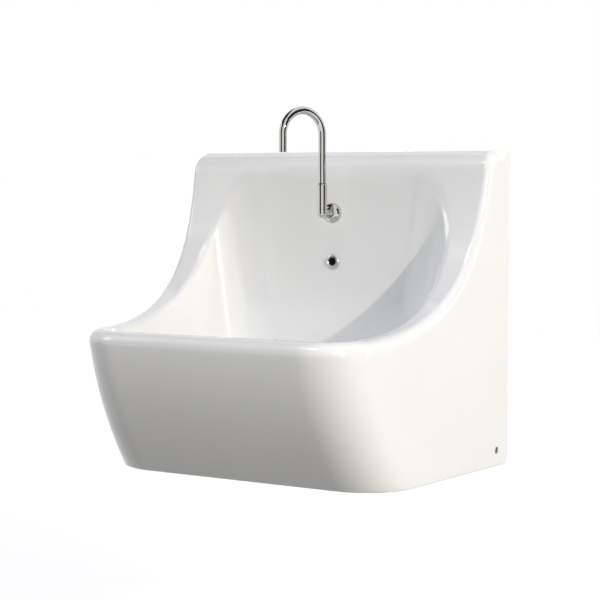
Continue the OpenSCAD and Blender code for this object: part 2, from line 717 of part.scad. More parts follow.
// Sensor eye in the splashback
sensor_seat = face_p + 1;
lens_r = lens_d / 2;
bezel_r = bezel_d / 2;
bezel_t = 3.6;
barrel_r = barrel_d / 2;
module sensor_gasket() {
    color("black") on_wall() out_ring(face_p, sensor_seat, sensor_z, bezel_r - 1, barrel_r + 0.2);
}
module sensor_bezel() {
    color("silver") on_wall() translate([0, -sensor_seat, sensor_z]) rotate([90, 0, 0]) rotate_extrude()
        polygon(concat([[lens_r + 0.1, 0], [bezel_r, 0]],
            [for (a = [0 : 15 : 90]) [bezel_r - 3.6 + 3.6 * cos(a), 1 + (bezel_t - 1) * sin(a)]],
            [[lens_r + 1, bezel_t], [lens_r + 0.1, bezel_t - 0.9]]));
}
module sensor_lens() {
    color("black") on_wall() translate([0, -sensor_seat, sensor_z]) rotate([90, 0, 0]) rotate_extrude()
        polygon(concat([[0, 0], [lens_r, 0]],
            [for (a = [0 : 15 : 90]) [lens_r * cos(a), bezel_t - 1.2 + 0.6 * sin(a)]]));
}
module sensor_body() {
    color("dimgray") on_wall() {
        out_rod(sensor_seat - 35, sensor_seat, sensor_z, barrel_r);
        out_rod(sensor_seat - 41, sensor_seat - 34, sensor_z, 5);
    }
}
module sensor_washer() {
    color("silver") on_wall() out_ring(back_p - 1.5, back_p, sensor_z, barrel_r + 6, barrel_r + 0.3);
}
module sensor_locknut() {
    color("dimgray") on_wall() difference() {
        translate([0, 7.5 - back_p, sensor_z]) rotate([90, 0, 0]) hexagon(32, 6);
        out_rod(back_p - 20, back_p, sensor_z, barrel_r + thread_gap);
    }
}

// Waste fitting
waste_r = waste_flange_d / 2;
waste_tail_r = waste_tail_d / 2;
seal_t = 1.5;
strainer_z = recess_z + seal_t;
strainer_t = 3;
under_z = floor_z - wall_t;
waste_end = floor_z - waste_tail_l;
under_seal_t = 4;
backnut_h = 9;
module at_waste() {
    translate([0, -waste_p, 0]) children();
}
module waste_strainer() {
    color("silver") on_wall() at_waste() difference() {
        union() {
            translate([0, 0, strainer_z]) cylinder(r = waste_r, h = strainer_t);
            translate([0, 0, waste_end]) cylinder(r = waste_tail_r, h = strainer_z - waste_end);
        }
        translate([0, 0, waste_end - 1])
            cylinder(r = waste_tail_r - 3, h = strainer_z - waste_end + 1);
        for (n = [0 : 5]) rotate([0, 0, n * 60]) translate([7.5, 0, strainer_z - 1])
            cylinder(r = 2.6, h = strainer_t + 2);
        for (n = [0 : 11]) rotate([0, 0, n * 30]) translate([15.5, 0, strainer_z - 1])
            cylinder(r = 2.6, h = strainer_t + 2);
    }
}
module waste_seal_top() {
    color("black") on_wall() at_waste() up_ring(recess_z, strainer_z, waste_r - 1, waste_tail_r + 0.4);
}
module waste_seal_bottom() {
    color("black") on_wall() at_waste()
        up_ring(under_z - under_seal_t, under_z, waste_r - 1, waste_tail_r + 0.4);
}
module waste_backnut() {
    color("goldenrod") on_wall() at_waste() difference() {
        translate([0, 0, under_z - under_seal_t - backnut_h]) hexagon(60, backnut_h);
        translate([0, 0, waste_end]) cylinder(r = waste_tail_r + thread_gap, h = floor_z);
    }
}

// Bottle trap under the waste
neck_r = 21;
neck_flange_t = 3;
trap_seal_t = 2;
neck_top = waste_end - trap_seal_t;
bottle_r = bottle_d / 2;
bottle_t = 2.5;
shoulder_z = neck_top - 9;
cone_h = 6;
outlet_z = waste_end - outlet_drop;
outlet_r = outlet_d / 2;
skirt_z = outlet_z - outlet_r - 21;
skirt_h = 14;
dip_r = 16;
dip_z = skirt_z - 18;
cup_z = dip_z - 15;
branch_r = outlet_r + 2;
branch_thread_r = outlet_r + 4.5;
branch_p = waste_p - bottle_r - 16;
push_r = outlet_r - 0.8;
push_p = branch_p - 10;
socket_in = 14;
nut_h = 18;
nut_lip = 3;
outlet_seal_t = 3;

// A grip nut with its lip at the origin, open towards +Z
module grip_nut(r, thread_r, hole_r) {
    difference() {
        union() {
            cylinder(r = r - 1, h = nut_h);
            for (n = [0 : 11]) rotate([0, 0, n * 30]) translate([r - 3, 0, 0])
                cylinder(r = 3, h = nut_h, $fn = 24);
        }
        translate([0, 0, nut_lip]) cylinder(r = thread_r + thread_gap, h = nut_h);
        translate([0, 0, -1]) cylinder(r = hole_r, h = nut_h);
    }
}
module trap_inlet_nut() {
    color("gainsboro") on_wall() at_waste() translate([0, 0, neck_top - neck_flange_t - nut_lip])
        grip_nut(waste_tail_r + 6, waste_tail_r, neck_r + 0.2);
}
module trap_inlet_seal() {
    color("black") on_wall() at_waste() up_ring(neck_top, waste_end, waste_tail_r - 0.3, dip_r + 2);
}
module trap_body() {
    color("gainsboro") on_wall() difference() {
        union() {
            at_waste() {
                translate([0, 0, neck_top - neck_flange_t])
                    cylinder(r = waste_tail_r - 0.3, h = neck_flange_t);
                translate([0, 0, shoulder_z - 1]) cylinder(r = neck_r, h = neck_top - shoulder_z);
                translate([0, 0, shoulder_z - cone_h])
                    cylinder(r1 = bottle_r, r2 = neck_r + 1, h = cone_h);
                translate([0, 0, skirt_z + skirt_h])
                    cylinder(r = bottle_r, h = shoulder_z - cone_h - skirt_z - skirt_h);
                translate([0, 0, skirt_z]) cylinder(r = bottle_r - bottle_t, h = skirt_h + 1);
                translate([0, 0, dip_z]) cylinder(r = dip_r, h = skirt_z - dip_z + 1);
            }
            out_rod(branch_p, waste_p, outlet_z, branch_r);
            out_rod(branch_p, branch_p + socket_in, outlet_z, branch_thread_r);
        }
        at_waste() {
            up_ring(skirt_z - 1, shoulder_z - cone_h - 3, bottle_r - 2 * bottle_t, dip_r);
            translate([0, 0, dip_z - 1]) cylinder(r = dip_r - 1.8, h = floor_z);
        }
        out_rod(branch_p - 1, branch_p + socket_in, outlet_z, push_r + thread_gap);
        out_rod(branch_p, waste_p - dip_r - 4, outlet_z, outlet_r - 2);
    }
}
module trap_cup() {
    color("gainsboro") on_wall() at_waste() difference() {
        translate([0, 0, cup_z]) cylinder(r = bottle_r, h = skirt_z + skirt_h - cup_z);
        translate([0, 0, cup_z + 3])
            cylinder(r = bottle_r - 2 * bottle_t, h = skirt_z + skirt_h - cup_z);
        translate([0, 0, skirt_z - 2])
            cylinder(r = bottle_r - bottle_t + thread_gap, h = skirt_h + 3);
    }
}
module trap_cup_seal() {
    color("black") on_wall() at_waste()
        up_ring(skirt_z - 2, skirt_z, bottle_r - bottle_t, bottle_r - 2 * bottle_t + 0.3);
}
module trap_outlet_nut() {
    color("gainsboro") on_wall() translate([0, nut_lip + outlet_seal_t - branch_p, outlet_z])
        rotate([90, 0, 0]) grip_nut(branch_thread_r + 6, branch_thread_r, outlet_r + 0.2);
}
module trap_outlet_seal() {
    color("black") on_wall() out_ring(branch_p - outlet_seal_t, branch_p, outlet_z,
        branch_thread_r - 0.2, push_r);
}
module outlet_pipe() {
    color("gainsboro") on_wall() difference() {
        union() {
            out_rod(0, push_p, outlet_z, outlet_r);
            out_rod(push_p - 1, branch_p + socket_in, outlet_z, push_r);
        }
        out_rod(-1, branch_p + socket_in + 1, outlet_z, outlet_r - 2);
    }
}

// Hangers on the wall, under the ledges
hook_p = slot_p + 4;
hook_h = 10;
module hanger(side) {
    color("silver") on_wall() translate([side * hanger_pitch / 2, 0, ledge_z]) difference() {
        union() {
            translate([-hanger_w / 2, -hanger_t, -plate_h]) cube([hanger_w, hanger_t, plate_h]);
            translate([-hanger_w / 2, -hook_p - hanger_t, -hanger_t])
                cube([hanger_w, hook_p + hanger_t, hanger_t]);
            translate([-hanger_w / 2, -hook_p - hanger_t, -hanger_t])
                cube([hanger_w, hanger_t, hanger_t + hook_h]);
        }
        for (z = [0, bolt_pitch]) translate([0, 1, z - plate_h + bolt_edge]) rotate([90, 0, 0])
            cylinder(d = bolt_hole_d, h = hanger_t + 2);
    }
}
module hanger_left() {
    hanger(-1);
}
module hanger_right() {
    hanger(1);
}

// Angles, bushes, screws and nuts of the side fixings
angle_t = 3;
angle_w = 46;
angle_h = 40;
angle_l = 62;
shank_r = screw_d / 2;
bush_in = 3;
head_in = 8;
head_r = shank_r + 2.3;
side_nut_w = 1.625 * screw_d;
side_nut_h = 6.5;
angle_x = trough_w / 2 - wall_t - angle_w;
angle_bolt_x = angle_x + 15;
angle_plan = [[angle_x, 0], [side_x(0, wall_t), 0], [side_x(angle_l, wall_t), -angle_l],
    [side_x(angle_l, wall_t + angle_t), -angle_l],
    [side_x(angle_t, wall_t + angle_t), -angle_t], [angle_x, -angle_t]];
module angle(side) {
    color("silver") on_wall() mirror([side < 0 ? 1 : 0, 0, 0]) difference() {
        translate([0, 0, side_screw_z - angle_h / 2]) linear_extrude(height = angle_h)
            polygon(angle_plan);
        at_side(1) side_rod(-wall_t - angle_t - 1, -wall_t + 1, shank_r + 0.3);
        translate([angle_bolt_x, 1, side_screw_z]) rotate([90, 0, 0])
            cylinder(d = bolt_hole_d, h = angle_t + 2);
    }
}
module angle_left() {
    angle(-1);
}
module angle_right() {
    angle(1);
}
module side_bushes() {
    color("dimgray") on_wall() for (side = [-1, 1]) at_side(side) difference() {
        side_rod(-wall_t, -bush_in, side_hole_d / 2 - 0.1);
        side_rod(-wall_t - 1, 0, shank_r + 0.2);
        side_rod(-head_in, 0, head_r + 0.2);
    }
}
module side_screws() {
    color("silver") on_wall() for (side = [-1, 1]) at_side(side) difference() {
        union() {
            side_rod(-wall_t - angle_t - side_nut_h - 2, -head_in + 1, shank_r);
            side_rod(-head_in, -head_in + 3.4, head_r);
        }
        translate([-head_in + 1.2, -side_screw_p, side_screw_z]) rotate([0, 90, 0])
            hexagon(5, 5);
    }
}
module side_nuts() {
    color("silver") on_wall() for (side = [-1, 1]) at_side(side) difference() {
        translate([-wall_t - angle_t - side_nut_h, -side_screw_p, side_screw_z])
            rotate([0, 90, 0]) hexagon(side_nut_w, side_nut_h);
        side_rod(-wall_t - angle_t - side_nut_h - 1, -wall_t, shank_r + thread_gap);
    }
}

trough();
spout_tube();
spout_spigot();
spout_o_rings();
bearing_ring();
outlet_nozzle();
flow_straightener();
spout_sleeve();
grub_screw();
spout_elbow();
wall_flange();
flange_gasket();
tail_gasket();
tail_washer();
tail_backnut();
supply_elbow();
supply_pipe();
pipe_olives();
pipe_nuts();
valve_body();
valve_coil();
coil_nut();
sensor_lens();
sensor_bezel();
sensor_body();
sensor_gasket();
sensor_washer();
sensor_locknut();
waste_strainer();
waste_seal_top();
waste_seal_bottom();
waste_backnut();
trap_inlet_nut();
trap_inlet_seal();
trap_body();
trap_cup();
trap_cup_seal();
trap_outlet_nut();
trap_outlet_seal();
outlet_pipe();
hanger_left();
hanger_right();
angle_left();
angle_right();
side_bushes();
side_screws();
side_nuts();
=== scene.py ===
"""Looks of the wall-hung ceramic scrub trough. Metres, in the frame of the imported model."""

import json
import math

import bmesh
import bpy
import numpy as np
from mathutils import Matrix, Vector


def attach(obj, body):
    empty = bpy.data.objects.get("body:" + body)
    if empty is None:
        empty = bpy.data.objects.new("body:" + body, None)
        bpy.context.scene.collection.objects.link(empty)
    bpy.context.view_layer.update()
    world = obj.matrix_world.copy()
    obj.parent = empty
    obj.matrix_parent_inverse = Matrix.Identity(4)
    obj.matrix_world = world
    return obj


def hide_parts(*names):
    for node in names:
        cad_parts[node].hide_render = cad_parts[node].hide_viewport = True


MM = 0.001

# Sizes of the casting in millimetres, as in the CAD source
TROUGH_W, TROUGH_H, RIM_H = 800.0, 700.0, 316.0
FRONT_PROJ, BASE_PROJ, FRONT_W = 640.0, 490.0, 660.0
CORNER_R, APRON_BULGE, WALL_T, REAR_R = 122.0, 23.0, 14.0, 16.0
TOP_FLAT, TOP_R, FACE_LEAN = 37.0, 54.0, 10.0
SWEEP_DOWN, SWEEP_BACK = 256.0, 262.0
RIM_W, WING_W, FLARE_W, EDGE_R, CREASE_R = 56.0, 36.0, 84.0, 29.0, 18.0
# Rounding of the outer edge at the top corners and at the top of the wings
TOP_EDGE_R, WING_EDGE_R = 32.0, 16.0
FLOOR_Z, FLOOR_FALL, FLOOR_SIDE, FLOOR_FRONT = 160.0, 15.0, 90.0, 110.0
BACK_CORNER_R, FLOOR_CORNER_R, COVE, WASTE_P = 130.0, 70.0, 50.0, 290.0
WASTE_FLANGE_D, WASTE_HOLE_D, RECESS_DEPTH = 68.0, 50.0, 5.0
SPOUT_Z, SENSOR_Z, SPOUT_HOLE_D, SENSOR_HOLE_D = 558.5, 447.5, 27.955, 25.2
SIDE_Z, SIDE_P, SIDE_HOLE_D = 35.5, 46.5, 15.0
HANGER_PITCH, LEDGE_W, LEDGE_Z, LEDGE_H = 420.0, 90.0, 590.0, 24.0
SLOT_P, SLOT_W, SLOT_H = 18.0, 12.0, 12.0
LEDGE_GAP, LEDGE_COVER, LEDGE_ROUND = 2.5, 3.2, 2.0
# Sizes of the spout and the sensor ring
AXIS_STAND, SEAT_T, BRIM_T, SPOUT_TURN = 48.5, 1.2, 4.0, 24.0
ARCH_R, ARCH_Z, TIP_Z, TUBE_Z, TUBE_R, BORE_R = 54.0, 736.0, 698.5, 626.2, 9.0, 8.0
LIP_H, LIP_R, NOZZLE_R, NOZZLE_IN_R, NOZZLE_IN = 2.2, 9.3, 6.8, 7.9, 8.0
SLEEVE_R, SLEEVE_Z, SLEEVE_END, SOCKET_R, WEB_Z, BORE_Z = 10.75, 568.5, 624.5, 8.45, 577.5, 580.5
WATER_R, NIPPLE_R, NIPPLE_H, SCREW_Z, SCREW_R = 5.5, 7.0, 8.5, 608.8, 2.1
TAIL_P, TAIL_R, BRIM_R, ARM_R, COLLAR_H = 38.0, 10.4775, 17.0, 9.5, 10.0
FLANGE_R, FLANGE_HOLE_R, DOME_H, DOME_LIP, DOME_T = 23.5, 9.8, 16.0, 2.5, 1.6
RING_R, RING_T, LENS_R, RING_ROUND = 16.5, 3.6, 9.75, 3.6
RING_FOOT, RING_BREAK, SENSOR_SEAT, THREAD_GAP = 1.0, 0.9, 1.0, 0.1
# Broken edges of the chrome, the facets of the tube, and how high the elbow's bore is cut
TUBE_BREAK, SEAM_BREAK, SLEEVE_BREAK, LIP_BREAK, STEP_BREAK = 0.6, 0.5, 0.8, 0.4, 0.3
TUBE_SIDES, BEND_STEPS, RISER_CUT = 48, 48, 40
# Height of the origin above the bottom edge, from which the shapes below are worked out
ORIGIN_Z = 550.0

# Columns of the casting: where each stretch of the half loop ends
K_TOP, K_ROLL, K_SWEEP, K_CORNER, K_FRONT = 6, 12, 25, 32, 35
K_REAR = 18

TOE = (TROUGH_W - FRONT_W) / 2 / FRONT_PROJ
SIDE_K = math.sqrt(1 + TOE * TOE)
SIDE_A = math.atan(TOE)
FLAT_Q, FLARE_LEN, BLEND_Q, BEND_T = 0.2, 0.065, 0.35, 0.4
# Weights of the conic bends: over the edge and the crease, and in the cove and the thin edges
BEND_W, COVE_W = 0.7, 0.75
# Rounding of the rear edge, outside and inside, and its steps
OUT_EDGE_R, OUT_STEPS, IN_EDGE_R, IN_STEPS = 4, 4, 3, 3
# Least inner radius of the crease, how the cove grows inside, and how the floor follows the back corner
MIN_CREASE_R, COVE_GROWTH, TURN_POWER = 4, 0.8, 0.8
# Longest share of the land that its edge takes, of a section's side that a corner takes, and its least side
EDGE_SHARE, CORNER_SHARE, LEAST_SIDE = 0.6, 0.45, 0.5
# Flat round the waste's flange, and the recess for it: gap, broken edges, and its glazed lip
WASTE_FLAT, RECESS_GAP, RECESS_BREAK = 12, 1, 1
RECESS_LIP = ((0, -2.5), (0.5, -1), (2.5, 0))
# Steps of a column outside and inside: front, edge, land, crease, bowl wall, cove and floor
OUTER_COUNTS, INNER_COUNTS = (26, 12, 22, 12, 22, 14, 8), (8, 4, 10, 4, 8, 6, 4)
# Holes: how deep they are cut, and the glazed mouth that flares over its last part
CUT_DEPTH, CUT_OVER, MOUTH_FLARE, MOUTH_CUT, MOUTH_ANGLES = WALL_T + 4, 1, 1.6, 4, (22, 45, 68, 89)
# Angles in degrees from which an edge stays sharp
SHARP, CASTING_SHARP, LEDGE_SHARP = 35, 38, 50
LEAN = math.radians(FACE_LEAN)
FACE_P = TOP_FLAT + TOP_R * math.cos(LEAN)
FACE_Z = TROUGH_H - TOP_R + TOP_R * math.sin(LEAN)
AXIS_P, SEAT_P = FACE_P + AXIS_STAND, FACE_P + SEAT_T
SWEEP_P = FRONT_PROJ - CORNER_R + CORNER_R * math.sin(SIDE_A)


# Points of the casting as (x, projection, height) in millimetres, in column k and at depth e
def vec(*v):
    return np.array(v, float)


def mix(a, b, t):
    return a + (b - a) * t


def unit(v):
    return v / np.linalg.norm(v)


def conic(a, b, c, t, w):
    u = 1 - t
    return (a * u * u + b * 2 * w * t * u + c * t * t) / (u * u + 2 * w * t * u + t * t)


def side_x(p, e=0.0):
    return TROUGH_W / 2 - TOE * p - e * SIDE_K


def apron(z):
    t = z / RIM_H
    return mix(BASE_PROJ, FRONT_PROJ, t) + 4 * APRON_BULGE * t * (1 - t)


# Side profile: q is 0 at the wall, 1 at the foot of the roll and 2 at the front rim
SWEEP = [vec(FACE_P, FACE_Z)]
SWEEP.append(SWEEP[0] + SWEEP_DOWN * vec(math.sin(LEAN), -math.cos(LEAN)))
SWEEP.append(vec(SWEEP_P - SWEEP_BACK, RIM_H))
SWEEP.append(vec(SWEEP_P, RIM_H))


def profile(q, e):
    if q <= FLAT_Q:
        return vec(TOP_FLAT * q / FLAT_Q, TROUGH_H - e)
    if q <= 1:
        a = math.radians(mix(90, FACE_LEAN, (q - FLAT_Q) / (1 - FLAT_Q)))
        r = TOP_R - e
        return vec(TOP_FLAT + r * math.cos(a), TROUGH_H - TOP_R + r * math.sin(a))
    t = q - 1
    u = 1 - t
    a, b, c, d = SWEEP
    at = a * u**3 + b * 3 * u * u * t + c * 3 * u * t * t + d * t**3
    run = (b - a) * u * u + (c - b) * 2 * u * t + (d - c) * t * t
    return at - unit(vec(-run[1], run[0])) * e


def on_profile(x, q, e):
    s = profile(q, e)
    return vec(x, s[0], s[1])


def edge_q(k):
    j = k - K_TOP
    if j <= 1:
        return FLAT_Q * j
    if k <= K_ROLL:
        return mix(FLAT_Q, 1, (j - 1) / (K_ROLL - K_TOP - 1))
    return 1 + (k - K_ROLL) / (K_SWEEP - K_ROLL)


CREASE_END = RIM_W * math.sin(SIDE_A) / 3 / SWEEP_BACK


def crease_q(k):
    q = edge_q(k)
    b = 1 + BLEND_Q
    start = 1 + BLEND_Q * (max(q, 0) / b) ** (b / BLEND_Q) if q < b else q
    return start - CREASE_END * (q / 2) ** 4


def land_w(q):
    t = max(q - 1, 0)
    return RIM_W + WING_W * (1 - t) ** 2 + FLARE_W * math.exp(-t / FLARE_LEN)


def crease_x(q, e):
    return side_x(profile(q, 0)[0]) - land_w(q) * SIDE_K + e


def edge_d(q, e):
    if q <= FLAT_Q:
        d = TOP_EDGE_R * q / FLAT_Q
    elif q <= 1:
        t = (q - FLAT_Q) / (1 - FLAT_Q)
        d = mix(TOP_EDGE_R, WING_EDGE_R, t * (2 - t))
    else:
        d = mix(WING_EDGE_R, EDGE_R, (q - 1) ** 2)
    return max(d - e, d / 8)


def apron_pt(a, g, z, e):
    cx = side_x(apron(z) - CORNER_R) - CORNER_R * SIDE_K
    return vec((cx + (CORNER_R - e) * math.cos(a)) * (1 - g),
               apron(z) - CORNER_R + (CORNER_R - e) * math.sin(a), z)


def corner_a(k):
    if k >= K_CORNER:
        return math.pi / 2
    return mix(SIDE_A, math.pi / 2, (k - K_SWEEP) / (K_CORNER - K_SWEEP))


def front_g(k):
    return max(k - K_CORNER, 0) / (K_FRONT - K_CORNER)


def rear_z(k):
    x = edge_q(k) / edge_q(K_REAR)
    return TROUGH_H * (1 - x / 4 - x**5 * 3 / 4)


def rim_start(k, e):
    """Outer edge of the surface on the wall plane and round the bottom edge."""
    run = BASE_PROJ - CORNER_R + (CORNER_R - e) * math.sin(SIDE_A)
    split = edge_q(K_REAR)

    def base_p(j):
        return run * (edge_q(j) - split) / (2 - split)

    if k <= K_REAR - 2:
        return vec(side_x(0, e), 0, min(rear_z(k), TROUGH_H - e))
    if k <= K_REAR - 1:
        return vec(side_x(0, e), 0, mix(rear_z(K_REAR - 2), REAR_R, k - K_REAR + 2))
    if k <= K_REAR + 1:
        a = (k - K_REAR + 1) / 2 * math.pi / 2
        p = REAR_R * (1 - math.cos(a))
        return vec(side_x(p, e), p, REAR_R * (1 - math.sin(a)))
    if k <= K_REAR + 2:
        p = mix(REAR_R, base_p(K_REAR + 2), k - K_REAR - 1)
    else:
        p = base_p(k)
    return vec(side_x(p, e), p, 0)


def edge_pt(k, e):
    if k < K_TOP:
        return vec(side_x(0, e) * k / K_TOP, 0, TROUGH_H - e)
    if k < K_SWEEP:
        s = profile(edge_q(k), e)
        return vec(side_x(s[0], e), s[0], s[1])
    b = apron_pt(corner_a(k), front_g(k), RIM_H, e)
    return vec(b[0], b[1], RIM_H - e)


def crease_pt(k, e):
    if k < K_TOP:
        return on_profile(crease_x(1, e) * k / K_TOP, 1, e)
    if k <= K_SWEEP:
        return on_profile(crease_x(crease_q(k), e), crease_q(k), e)
    b = apron_pt(corner_a(k), front_g(k), RIM_H, RIM_W - e)
    return vec(b[0], b[1], RIM_H - e)


BACK_CP = FACE_P + BACK_CORNER_R
BACK_CX = side_x(BACK_CP) - (FLOOR_SIDE + BACK_CORNER_R) * SIDE_K
FRONT_CP = FRONT_PROJ - FLOOR_FRONT - FLOOR_CORNER_R
FRONT_CX = side_x(FRONT_CP) - (FLOOR_SIDE + FLOOR_CORNER_R) * SIDE_K


def floor_pt(k, e):
    h = e * math.cos(LEAN)
    top = FLOOR_Z + FLOOR_FALL - e

    def back(a):
        r = BACK_CORNER_R + h
        return vec(BACK_CX + r * math.cos(a), BACK_CP + r * math.sin(a), top)

    def front(a):
        r = FLOOR_CORNER_R + h
        return vec(FRONT_CX + r * math.cos(a), FRONT_CP + r * math.sin(a), top)

    if k < K_TOP:
        return vec(BACK_CX * k / K_TOP, FACE_P - h, top)
    if k <= K_SWEEP:
        t = crease_q(k) - 1
        if t <= BEND_T:
            return back(mix(-math.pi / 2, SIDE_A, max(t / BEND_T, 0) ** TURN_POWER))
        p0 = profile(1 + BEND_T, 0)[0]
        p1 = profile(crease_q(K_SWEEP), 0)[0]
        return mix(back(SIDE_A), front(SIDE_A), (profile(t + 1, 0)[0] - p0) / (p1 - p0))
    b = front(corner_a(k))
    return vec(b[0] * (1 - front_g(k)), b[1], b[2])


WASTE_FLAT_R = WASTE_FLANGE_D / 2 + WASTE_FLAT


def waste_pt(k, r, z):
    d = floor_pt(k, 0) - vec(0, WASTE_P, 0)
    h = unit(vec(d[0], d[1], 0))
    return vec(0, WASTE_P, z) + h * r


def land_pt(k, m, e):
    a, c = edge_pt(k, e), crease_pt(k, e)
    if k < K_TOP:
        return on_profile(mix(a[0], c[0], m), m, e)
    if k <= K_SWEEP:
        return on_profile(mix(a[0], c[0], m), mix(edge_q(k), crease_q(k), m), e)
    return mix(a, c, m)


def land_len(k, e):
    if k < K_TOP:
        return TOP_FLAT + TOP_R * 1.4
    return np.linalg.norm(edge_pt(k, e) - crease_pt(k, e))


def edge_m(k, e):
    if k <= K_TOP:
        return 0.0
    if k <= K_SWEEP:
        return min(edge_d(edge_q(k), e) / land_len(k, e), EDGE_SHARE)
    return edge_d(2, e) / land_len(k, e)


def crease_m(k, e):
    return 1 - max(CREASE_R - e, MIN_CREASE_R) / land_len(k, e)


def edge_low(k, e):
    d = edge_d(edge_q(min(k, K_SWEEP)), e)
    if k < K_SWEEP:
        s = profile(edge_q(k), e + d)
        return vec(side_x(s[0], e), s[0], s[1])
    return apron_pt(corner_a(k), front_g(k), RIM_H - e - d, e)


def toward(a, b, d):
    return a + unit(b - a) * d


def column(k, e, counts):
    """Points of one column, from the wall or bottom edge to the flat round the waste."""
    panels, bends, lands, creases, walls, coves, floors = counts
    pts = []
    low, corner = edge_low(k, e), edge_pt(k, e)
    first = land_pt(k, edge_m(k, e), e)
    on_top = k <= K_TOP
    for i in range(panels):
        m = i / panels
        if on_top:
            pts.append(first)
        elif k < K_SWEEP:
            pts.append(mix(rim_start(k, e), low, m))
        else:
            pts.append(apron_pt(corner_a(k), front_g(k), m * (RIM_H - e - edge_d(2, e)), e))
    for i in range(bends):
        pts.append(first if on_top else conic(low, corner, first, i / bends, BEND_W))
    last = crease_m(k, e)
    for i in range(lands):
        pts.append(land_pt(k, mix(edge_m(k, e), last, i / lands), e))
    c, d = crease_pt(k, e), floor_pt(k, e)
    w = waste_pt(k, WASTE_FLAT_R, FLOOR_Z - e)
    wall = toward(c, d, max(CREASE_R - e, MIN_CREASE_R))
    cove_d = COVE + e * COVE_GROWTH
    foot, heel = toward(d, c, cove_d), toward(d, w, cove_d)
    for i in range(creases):
        pts.append(conic(land_pt(k, last, e), c, wall, i / creases, BEND_W))
    for i in range(walls):
        pts.append(mix(wall, foot, i / walls))
    for i in range(coves):
        pts.append(conic(foot, d, heel, i / coves, COVE_W))
    for i in range(floors + 1):
        pts.append(mix(heel, w, i / floors))
    return pts


def rounded(a, corner, b, r, n):
    """Points of a rounded corner of the section between a and b."""
    ra = min(r, np.linalg.norm(a - corner) * CORNER_SHARE)
    rb = min(r, np.linalg.norm(b - corner) * CORNER_SHARE)
    pa, pb = toward(corner, a, ra), toward(corner, b, rb)
    return [conic(pa, corner, pb, i / n, COVE_W) for i in range(n + 1)]


def next_point(pts):
    """The first point that lies clear of where the column starts."""
    return next(p for p in pts[1:] if np.linalg.norm(p - pts[0]) > LEAST_SIDE)


def half_columns():
    """Columns of the half loop, in finer steps than the CAD source takes."""
    counts = [(0, K_TOP, 4), (K_TOP, K_ROLL, 5), (K_ROLL, K_SWEEP, 7),
              (K_SWEEP, K_CORNER, 5), (K_CORNER, K_FRONT, 6)]
    ks = [0.0]
    for a, b, n in counts:
        steps = (b - a) * n
        ks += [mix(a, b, i / steps) for i in range(1, steps + 1)]
    return ks


def casting_sections():
    """For each column, its closed section: waste hole, outer skin, edge, inner skin."""
    recess_z, under_z = FLOOR_Z - RECESS_DEPTH, FLOOR_Z - WALL_T
    hole_r, recess_r = WASTE_HOLE_D / 2, WASTE_FLANGE_D / 2 + RECESS_GAP
    sections, split = [], 0
    for k in half_columns():
        outer = column(k, 0, OUTER_COUNTS)
        inner = column(k, WALL_T, INNER_COUNTS)
        o, i = outer[0], inner[0]
        edge = rounded(next_point(outer), o, i, OUT_EDGE_R, OUT_STEPS)
        edge += rounded(o, i, next_point(inner), IN_EDGE_R, IN_STEPS)
        ring = [waste_pt(k, hole_r, under_z), waste_pt(k, hole_r, recess_z - RECESS_BREAK),
                waste_pt(k, hole_r + RECESS_BREAK, recess_z), waste_pt(k, recess_r - RECESS_BREAK, recess_z),
                waste_pt(k, recess_r, recess_z + RECESS_BREAK)]
        ring += [waste_pt(k, recess_r + r, FLOOR_Z + z) for r, z in RECESS_LIP]
        sections.append(ring + outer[:0:-1] + edge + inner[1:])
        split = len(ring) + len(outer) + OUT_STEPS
    return sections, split


# Meshes
def mesh_object(name, verts, faces, mats, sharp=SHARP):
    mesh = bpy.data.meshes.new(name)
    mesh.from_pydata([tuple(v) for v in verts], [], faces)
    for m in mats:
        mesh.materials.append(m)
    mesh.validate()
    mesh.update()
    mesh.shade_smooth()
    if sharp:
        mesh.set_sharp_from_angle(angle=math.radians(sharp))
    obj = bpy.data.objects.new(name, mesh)
    bpy.context.scene.collection.objects.link(obj)
    return obj


def smooth(obj, sharp):
    """Smooth shading, with edges sharp from the given angle in degrees."""
    obj.data.shade_smooth()
    obj.data.set_sharp_from_angle(angle=math.radians(sharp))
    return obj


def lathe(points, n=48):
    """Vertices and faces of points (radius, height) turned about +Z."""
    verts, faces = [], []
    for r, h in points:
        for i in range(n):
            a = 2 * math.pi * i / n
            verts.append((r * math.cos(a), r * math.sin(a), h))
    for j in range(len(points) - 1):
        for i in range(n):
            faces.append((j * n + i, j * n + (i + 1) % n, (j + 1) * n + (i + 1) % n, (j + 1) * n + i))
    faces.append(tuple(range(n))[::-1])
    faces.append(tuple((len(points) - 1) * n + i for i in range(n)))
    return verts, faces


def place(p, z, turn=None):
    """Matrix of a piece at projection p and height z, in millimetres from the bottom edge."""
    m = Matrix.Translation(Vector((0, -p, z - ORIGIN_Z)) * MM)
    return m @ turn if turn else m


# Turns of a piece: its axis outward from the wall, toward the wall, and the spout's own frame
OUTWARD = Matrix.Rotation(math.pi / 2, 4, "X")
INWARD = Matrix.Rotation(-math.pi / 2, 4, "X")
SPOUT_FRAME = Matrix.Rotation(math.radians(-90 - SPOUT_TURN), 4, "Z")


def cut_holes(obj, cutters, operation="DIFFERENCE"):
    """Cuts each cutter, given as (vertices, faces, matrix), out of the object, or joins it on."""
    for verts, faces, matrix in cutters:
        tool = mesh_object("cutter", verts, faces, [], sharp=None)
        tool.matrix_world = matrix
        mod = obj.modifiers.new("cut", "BOOLEAN")
        mod.operation, mod.solver, mod.object = operation, "EXACT", tool
        bpy.context.view_layer.update()
        depsgraph = bpy.context.evaluated_depsgraph_get()
        mesh = bpy.data.meshes.new_from_object(obj.evaluated_get(depsgraph))
        obj.modifiers.clear()
        old = obj.data
        obj.data = mesh
        bpy.data.meshes.remove(old)
        bpy.data.objects.remove(tool)


